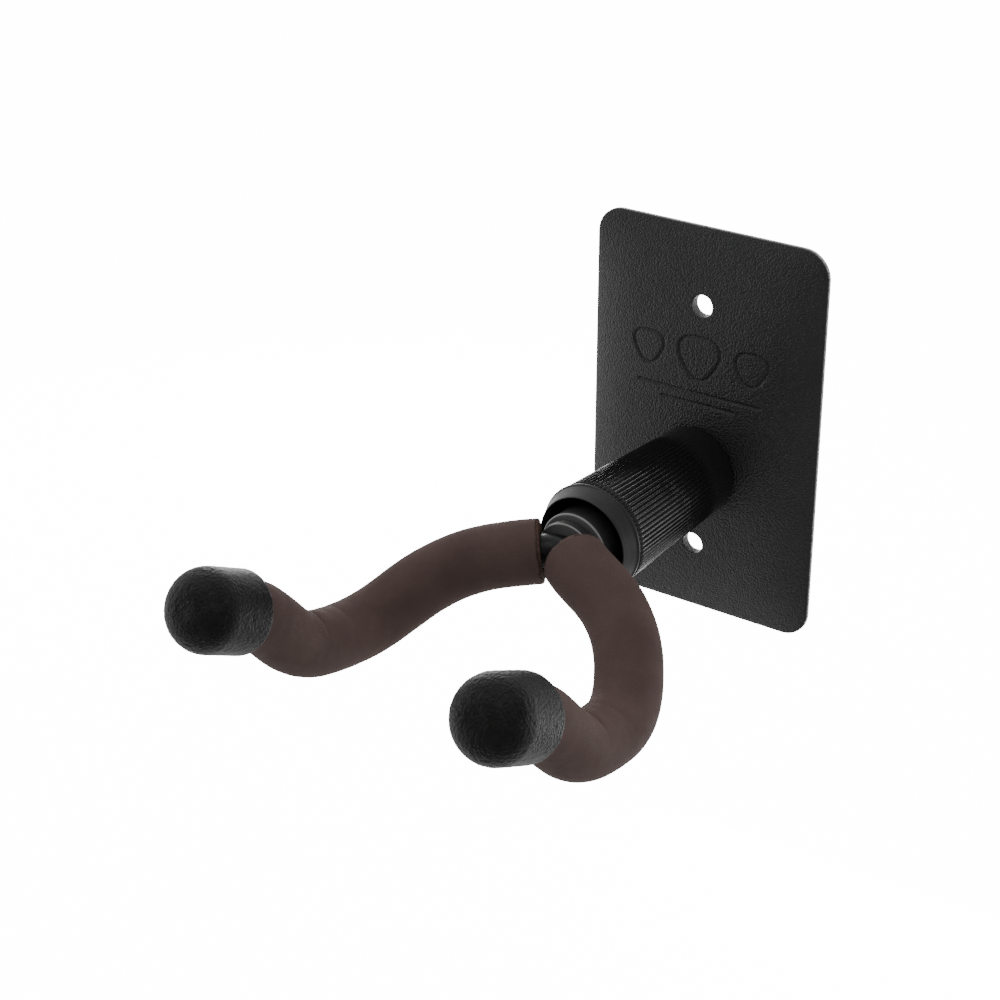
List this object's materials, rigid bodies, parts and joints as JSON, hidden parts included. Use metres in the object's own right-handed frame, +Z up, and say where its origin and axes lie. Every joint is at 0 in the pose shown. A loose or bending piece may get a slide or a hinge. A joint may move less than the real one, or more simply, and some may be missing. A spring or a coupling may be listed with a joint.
{
  "type": "wall guitar hanger",
  "caption": "Wall hanger for a guitar: dished steel wall plate, ribbed round hub and a swivelling padded yoke that cradles the headstock.",
  "frame": {"origin": "centre of the plate on its wall-side plane, midway between the screw holes", "axes": "+Z up, +Y into the wall, -Y out to the room along the hub, +X to the viewer's right when facing the wall"},
  "size_m": [0.0948, 0.1505, 0.1022],
  "materials": {
    "plate_paint": "wrinkle black powder coat",
    "post_steel": "satin black painted steel",
    "hub_plastic": "satin black moulded plastic with fine ribs",
    "bezel_plastic": "smooth satin charcoal plastic",
    "bearing_nylon": "black nylon",
    "zinc_steel": "zinc plated",
    "black_steel": "gloss black enamelled steel",
    "nut_nylon": "blue nylon locking ring",
    "arm_foam": "dark brown smooth closed-cell foam tube",
    "cap_rubber": "black pebbled moulded rubber"
  },
  "bodies": {
    "wall_mount": {"wall_plate": "plate_paint", "hub_post": "post_steel", "ribbed_sleeve": "hub_plastic", "front_bezel": "bezel_plastic", "sleeve_clip": "zinc_steel", "front_bushing": "bearing_nylon", "rear_bushing": "bearing_nylon"},
    "yoke": {"thrust_washer": "bearing_nylon", "swivel_stem": "post_steel", "spring_washer": "zinc_steel", "flat_washer": "zinc_steel", "lock_nut": "zinc_steel", "lock_nut_insert": "nut_nylon", "yoke_rod": "black_steel", "arm_sleeve_left": "arm_foam", "arm_sleeve_right": "arm_foam", "end_cap_left": "cap_rubber", "end_cap_right": "cap_rubber"}
  },
  "joints": [
    {"name": "yoke_swivel", "type": "hinge", "parent": "wall_mount", "child": "yoke", "pos_m": [0, -0.058, -0.0112], "axis": [0, -1, 0], "continuous": true}
  ]
}
